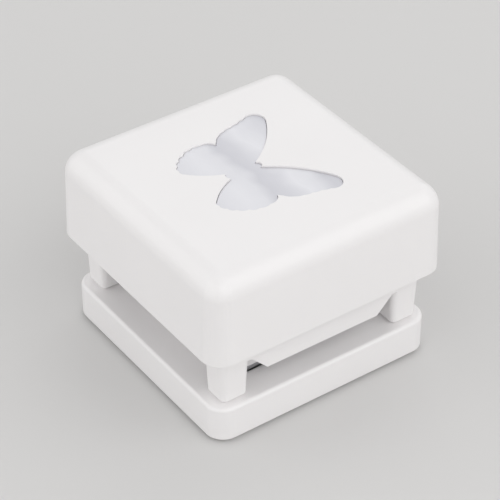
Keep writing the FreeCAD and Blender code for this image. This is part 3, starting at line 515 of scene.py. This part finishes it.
# %% Limits for softening
MERGE_WITHIN = 0.0004 * MM
FLAT_WITHIN = math.radians(0.6)
SHARP_ABOVE = math.radians(28.0)
BEVEL_SEGMENTS = 2
print("edges are sharp above", round(math.degrees(SHARP_ABOVE)), "degrees")


# %% A function that softens a copy of a node
def soften(node, width):
    """Let a copy of a node, its sharp edges bevelled by a width in millimetres, stand for it."""
    shape = bmesh.new()
    shape.from_mesh(nodes[node].data)
    bmesh.ops.remove_doubles(shape, verts=shape.verts, dist=MERGE_WITHIN)
    bmesh.ops.dissolve_limit(
        shape, angle_limit=FLAT_WITHIN, verts=shape.verts, edges=shape.edges,
        use_dissolve_boundaries=False,
    )
    sharp = [
        edge for edge in shape.edges
        if len(edge.link_faces) == 2 and edge.calc_face_angle(0) > SHARP_ABOVE
    ]
    bmesh.ops.bevel(
        shape, geom=sharp, offset=width * MM, offset_type="OFFSET", segments=BEVEL_SEGMENTS,
        profile=0.5, affect="EDGES", clamp_overlap=True, material=-1,
    )
    for face in shape.faces:
        face.smooth = True
    piece = stand_in(shape, "soft_" + node, node)
    even = piece.modifiers.new("even_shading", "WEIGHTED_NORMAL")
    even.keep_sharp = False
    faces = len(piece.data.polygons)
    print(piece.name, "stands for", node, "with", faces, "faces,", len(sharp), "edges soft")


# %% Soften the moulded and stamped pieces, by widths in millimetres
CORNERS = ("front_left", "front_right", "back_right", "back_left")
SOFT_EDGES = {
    "cap": 0.3,
    "butterfly_inlay": 0.12,
    "leg_frame": 0.22,
    "ram": 0.2,
    "base_shell": 0.3,
    "bottom_cover": 0.2,
    "stripper_plate": 0.06,
    "die_plate": 0.04,
    "die_screws": 0.1,
    "retaining_clips": 0.08,
}
for corner in CORNERS:
    SOFT_EDGES["guide_pin_" + corner] = 0.2
    SOFT_EDGES["leg_magnet_" + corner] = 0.12
    SOFT_EDGES["base_magnet_" + corner] = 0.12
    SOFT_EDGES["rubber_foot_" + corner] = 0.15
for node, width in SOFT_EDGES.items():
    soften(node, width)

# %% [markdown]
# ## Return springs
#
# Four springs round the guide pins push the cap back up. The construction model draws them in
# square wire, which needs few faces. The real wire is round, and its last turn at each end is
# wound flat, so that the spring stands square on the deck and under the cap. A curve with a round
# bevel could follow the coil, but every point of it would have to be worked out. The operator
# `spin` with a rise per step winds as a spring winder does: a flat turn, the open turns, and a
# flat turn again, each starting from the ring that the last one ended on.

# %% Sizes of a spring
WIRE_RADIUS, WIRE_SIDES = 0.3 * MM, 10
FLAT_TURNS, OPEN_TURNS, STEPS_PER_TURN = 1, 4, 28
# The flat turns lie a fiftieth of the wire's thickness apart, so that they don't touch.
FLAT_PITCH = 1.02 * 2 * WIRE_RADIUS
RING_MERGE = 0.001 * MM
print(2 * FLAT_TURNS + OPEN_TURNS, "turns of wire", round(2 * WIRE_RADIUS / MM, 1), "mm thick")


# %% A function that winds one spring
def wind_spring(name, node):
    """A compression spring of round wire in the box of its node, with closed ends."""
    low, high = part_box(node)
    axis = (low + high) / 2
    reach = (high.x - low.x) / 2 - WIRE_RADIUS
    open_height = high.z - low.z - 2 * WIRE_RADIUS - 2 * FLAT_TURNS * FLAT_PITCH
    shape = bmesh.new()
    stand = Matrix.Translation((axis.x + reach, axis.y, low.z + WIRE_RADIUS))
    ring = bmesh.ops.create_circle(
        shape, cap_ends=True, segments=WIRE_SIDES, radius=WIRE_RADIUS,
        matrix=stand @ Matrix.Rotation(math.radians(90), 4, "X"),
    )["verts"]
    end = ring + each_once(item for vert in ring for item in (*vert.link_edges, *vert.link_faces))
    flat, coils = (FLAT_TURNS, FLAT_PITCH), (OPEN_TURNS, open_height / OPEN_TURNS)
    for turns, pitch in (flat, coils, flat):
        end = bmesh.ops.spin(
            shape, geom=end, cent=axis, axis=(0, 0, 1), angle=math.tau * turns,
            steps=STEPS_PER_TURN * turns, dvec=(0, 0, pitch / STEPS_PER_TURN),
            use_merge=False, use_duplicate=False,
        )["geom_last"]
    bmesh.ops.remove_doubles(shape, verts=shape.verts, dist=RING_MERGE)
    bmesh.ops.recalc_face_normals(shape, faces=shape.faces)
    for face in shape.faces:
        face.smooth = len(face.verts) == 4
    return stand_in(shape, name, node)


# %% [markdown]
# ## Springs in their places
#
# When the cap is pressed, each spring is squeezed between the cap and the deck. Here each spring
# is only wound; the share of its height left when pressed is worked out, and nothing shortens it.

# %% Wind the four springs
STROKE = next(j for j in frame["joints"] if j["name"] == "cap_press")["range_m"][1]
for corner in CORNERS:
    spring_node = "return_spring_" + corner
    spring = wind_spring("coil_" + corner, spring_node)
    spring_low, spring_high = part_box(spring_node)
    spring_height = spring_high.z - spring_low.z
    (spring_height - STROKE) / spring_height
    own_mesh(spring)
print("springs:", round(spring_height / MM, 1), "mm, squashed by", round(STROKE / MM, 1), "mm")

# %% [markdown]
# ## Cross-recessed screws
#
# The construction model leaves the screws plain. A real one is upset from wire, and a punch
# sinks the cross into its head, each arm narrowing as it goes down. Cutting the cross with a
# boolean would leave long thin faces. Here the head starts as one flat face between a circle and
# a cross instead. The rim is extruded down to the shank and its tip, and the cross is extruded
# into the head.

# %% Sizes of a screw
HEAD_RADIUS, HEAD_HEIGHT, HEAD_SIDES = 1.9 * MM, 1.0 * MM, 28
SHANK_RADIUS, TIP_RADIUS, TIP_HEIGHT = 1.0 * MM, 0.55 * MM, 0.5 * MM
CROSS_REACH, CROSS_HALF_WIDTH = 1.15 * MM, 0.27 * MM
CROSS_DEPTH, CROSS_NARROWING = 0.7 * MM, 0.45
print("screw head:", round(2 * HEAD_RADIUS / MM, 1), "mm across")


# %% A function that extrudes a loop of edges
def loop_down(shape, edges, steps):
    """Extrude a loop down in steps, each with a depth and a scale, and close its end."""
    for depth, scale in steps:
        grown = bmesh.ops.extrude_edge_only(shape, edges=edges)["geom"]
        verts = [item for item in grown if isinstance(item, bmesh.types.BMVert)]
        edges = [
            item for item in grown
            if isinstance(item, bmesh.types.BMEdge) and all(vert in verts for vert in item.verts)
        ]
        bmesh.ops.scale(shape, verts=verts, vec=(scale, scale, 1))
        bmesh.ops.translate(shape, verts=verts, vec=(0, 0, -depth))
    bmesh.ops.contextual_create(shape, geom=edges)


# %% A function that shapes one screw
def add_screw(shape, place, length, face_up):
    """One countersunk screw, its flat face at a place, in a mesh that may hold others."""
    before = set(shape.verts)
    rim = bmesh.ops.create_circle(
        shape, cap_ends=False, segments=HEAD_SIDES, radius=HEAD_RADIUS
    )["verts"]
    reach, half = CROSS_REACH, CROSS_HALF_WIDTH
    quarter = [(half, half), (half, reach), (-half, reach)]
    cross = []
    for turn in range(4):
        spin = Matrix.Rotation(turn * math.tau / 4, 3, "Z")
        cross += [shape.verts.new(spin @ Vector((x, y, 0))) for x, y in quarter]
    cross_edges = [shape.edges.new(pair) for pair in zip(cross, cross[1:] + cross[:1])]
    rim_edges = each_once(edge for vert in rim for edge in vert.link_edges)
    bmesh.ops.triangle_fill(shape, use_beauty=True, edges=cross_edges + rim_edges)
    steps = [
        (HEAD_HEIGHT, SHANK_RADIUS / HEAD_RADIUS),
        (length - HEAD_HEIGHT - TIP_HEIGHT, 1.0),
        (TIP_HEIGHT, TIP_RADIUS / SHANK_RADIUS),
    ]
    loop_down(shape, rim_edges, steps)
    loop_down(shape, cross_edges, [(CROSS_DEPTH, CROSS_NARROWING)])
    added = [vert for vert in shape.verts if vert not in before]
    if not face_up:
        bmesh.ops.rotate(shape, verts=added, matrix=Matrix.Rotation(math.pi, 3, "X"))
    bmesh.ops.translate(shape, verts=added, vec=place)


# %% [markdown]
# ## Screws in their sets
#
# Equal screws are one piece, as they are one line of a parts list. The screws of a set stand in
# the corners of its box, so their places come from the box and aren't typed again. A set that is
# as narrow as one screw has only two corners, and the set of places keeps each of them once.


# %% Make the four countersunk sets
def screw_set(node, face_up):
    """Detailed screws in the corners of a set's box."""
    low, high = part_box(node)
    face = high.z if face_up else low.z
    places = {
        (round(x, 6), round(y, 6))
        for x in (low.x + HEAD_RADIUS, high.x - HEAD_RADIUS)
        for y in (low.y + HEAD_RADIUS, high.y - HEAD_RADIUS)
    }
    shape = bmesh.new()
    for x, y in sorted(places):
        add_screw(shape, (x, y, face), high.z - low.z, face_up)
    bmesh.ops.recalc_face_normals(shape, faces=shape.faces)
    piece = stand_in(shape, "crosshead_" + node, node)
    print(piece.name, "has", len(places), "screws")


for node in ("ram_screws", "punch_screws"):
    screw_set(node, face_up=True)
for node in ("stripper_screws", "cover_screws"):
    screw_set(node, face_up=False)

# %% [markdown]
# ## Camera
#
# The punch is seen from the corner and from well above, with a long lens that keeps its upright
# edges nearly parallel. The camera and each lamp stand off from the punch's middle in a
# direction and look back at it, so one function places them all. An azimuth of 0 is the front and
# 90 the right.


# %% A function that stands something off from the punch
def stand_off(thing, azimuth, elevation, distance):
    """Put a camera or lamp in the scene, aimed at the punch from a direction in degrees."""
    turn, lift = math.radians(azimuth), math.radians(elevation)
    away = Vector((
        math.sin(turn) * math.cos(lift), -math.cos(turn) * math.cos(lift), math.sin(lift)
    ))
    thing.location = (cad_low + cad_high) / 2 + away * distance
    thing.rotation_euler = away.to_track_quat("Z", "Y").to_euler()
    bpy.context.scene.collection.objects.link(thing)


# %% Set up the camera
CAP_WIDTHS_AWAY = 7.5
SENSOR_WIDTH, LENS_LENGTH = 36.0, 150.0
cap_low, cap_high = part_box("cap")
camera_distance = CAP_WIDTHS_AWAY * (cap_high.x - cap_low.x)
camera = bpy.data.objects.new("camera", bpy.data.cameras.new("camera"))
stand_off(camera, azimuth=54.6, elevation=37.7, distance=camera_distance)
camera.data.sensor_width = SENSOR_WIDTH
camera.data.lens = LENS_LENGTH
camera.data.clip_start = 10 * MM
bpy.context.scene.camera = camera
print("camera stands", round(camera_distance / MM), "mm away")

# %% [markdown]
# ## Floor
#
# A plain pale floor keeps the soft shadow that sets the punch down. Its far edge would draw a hard
# horizon in a low view. A backdrop that curves up behind would hide it, but from one side only, so
# the floor fades with distance into the ground that the world shows. Only rays from the camera,
# or seen in a reflection, meet that fade, so it lights nothing. The distances are in metres.

# %% Sizes of the floor and how bright the ground is
FLOOR_REACH, FADE_NEAR, FADE_FAR = 4.0, 0.35, 1.1
FLOOR_GREY, FLOOR_ROUGHNESS = linear(213, 212, 211), 0.8
GROUND_STRENGTH = 0.72
print("the floor fades from", FADE_NEAR, "to", FADE_FAR, "m")


# %% Functions for rays that only look
def looking_rays(tree):
    """A value that is 1 for rays that look: from the camera, or through gloss or glass."""
    path = tree.nodes.new("ShaderNodeLightPath")
    value = path.outputs["Is Camera Ray"]
    for name in ("Is Glossy Ray", "Is Transmission Ray"):
        either = tree.nodes.new("ShaderNodeMath")
        either.operation = "MAXIMUM"
        tree.links.new(value, either.inputs[0])
        tree.links.new(path.outputs[name], either.inputs[1])
        value = either.outputs[0]
    return value


def fade_to_ground(graph, near, far):
    """Fade a floor's material into the ground between two distances in metres."""
    here = graph.add("ShaderNodeTexCoord", output="Object")
    distance = graph.add("ShaderNodeVectorMath", {"operation": "LENGTH"}, here, output=1)
    fade = graph.add(
        "ShaderNodeMapRange", {"interpolation_type": "SMOOTHSTEP"}, distance, near, far, 0.0, 1.0
    )
    amount = fade * Wire(graph, looking_rays(graph.tree))
    paint = Wire(graph, graph.shader.outputs[0])
    glow = graph.add("ShaderNodeEmission", None, (1, 1, 1, 1), GROUND_STRENGTH)
    mixed = graph.add("ShaderNodeMixShader", None, amount, paint, glow)
    graph.tree.links.new(mixed.socket, graph.tree.nodes["Material Output"].inputs["Surface"])


# %% Lay the floor
floor_shape = bmesh.new()
bmesh.ops.create_grid(floor_shape, x_segments=1, y_segments=1, size=FLOOR_REACH)
floor_mesh = bpy.data.meshes.new("floor")
floor_shape.to_mesh(floor_mesh)
floor_shape.free()
floor = bpy.data.objects.new("floor", floor_mesh)
bpy.context.scene.collection.objects.link(floor)
floor_paint = Graph("pale_floor")
floor_paint.set(Base_Color=(*FLOOR_GREY, 1), Roughness=FLOOR_ROUGHNESS)
finish_with(floor, floor_paint.material)
fade_to_ground(floor_paint, FADE_NEAR, FADE_FAR)
print("floor:", round(2 * FLOOR_REACH), "m square, in", floor_paint.material.name)

# %% [markdown]
# ## Lamps
#
# A wide lamp on the right draws the long highlight on the cap's near edges, a second one fills
# from the left, and a weak one from behind lifts the far side. They are wide rather than bright,
# so that the glossy top doesn't burn out where it mirrors one of them. The camera doesn't see
# the lamps themselves, and their level is one where a colour shows about as it is written.

# %% Hang the lamps
LAMPS = {
    "key_lamp": dict(azimuth=104, elevation=36, distance=1.1, size=(1.8, 1.1), power=5.8),
    "fill_lamp": dict(azimuth=-20, elevation=25, distance=1.2, size=(2.4, 1.1), power=5.4),
    "rim_lamp": dict(azimuth=215, elevation=34, distance=1.2, size=(1.4, 0.8), power=1.7),
}


def hang_lamp(name, azimuth, elevation, distance, size, power):
    """A lamp of a width and height in metres, at the punch from a direction in degrees."""
    light = bpy.data.lights.new(name, "AREA")
    light.shape = "RECTANGLE"
    light.size, light.size_y = size
    light.energy = power
    lamp = bpy.data.objects.new(name, light)
    lamp.visible_camera = False
    stand_off(lamp, azimuth, elevation, distance)


for name, settings in LAMPS.items():
    hang_lamp(name, **settings)
print(len(LAMPS), "lamps:", ", ".join(LAMPS))

# %% [markdown]
# ## World
#
# The world lights the punch with a plain grey. A picture of a studio could be wrapped round the
# scene instead, but its shapes would show in the glossy cap. Where the camera, or a reflection,
# looks past the floor, it sees a slightly brighter ground, which lights no matt surface.

# %% Light the world and show the ground behind
LIGHT_STRENGTH = 0.66
world = bpy.data.worlds.new("studio")
world.use_nodes = True
sky = world.node_tree
grounds = [sky.nodes["Background"], sky.nodes.new("ShaderNodeBackground")]
chosen = sky.nodes.new("ShaderNodeMixShader")
sky.links.new(looking_rays(sky), chosen.inputs["Fac"])
strengths = (LIGHT_STRENGTH, GROUND_STRENGTH)
for index, (background, strength) in enumerate(zip(grounds, strengths), start=1):
    background.inputs["Color"].default_value = (1.0, 1.0, 1.0, 1)
    background.inputs["Strength"].default_value = strength
    sky.links.new(background.outputs[0], chosen.inputs[index])
sky.links.new(chosen.outputs[0], sky.nodes["World Output"].inputs["Surface"])
bpy.context.scene.world = world
bpy.context.scene.view_settings.view_transform = "Standard"
print("world: lights at", LIGHT_STRENGTH, "and shows", GROUND_STRENGTH)
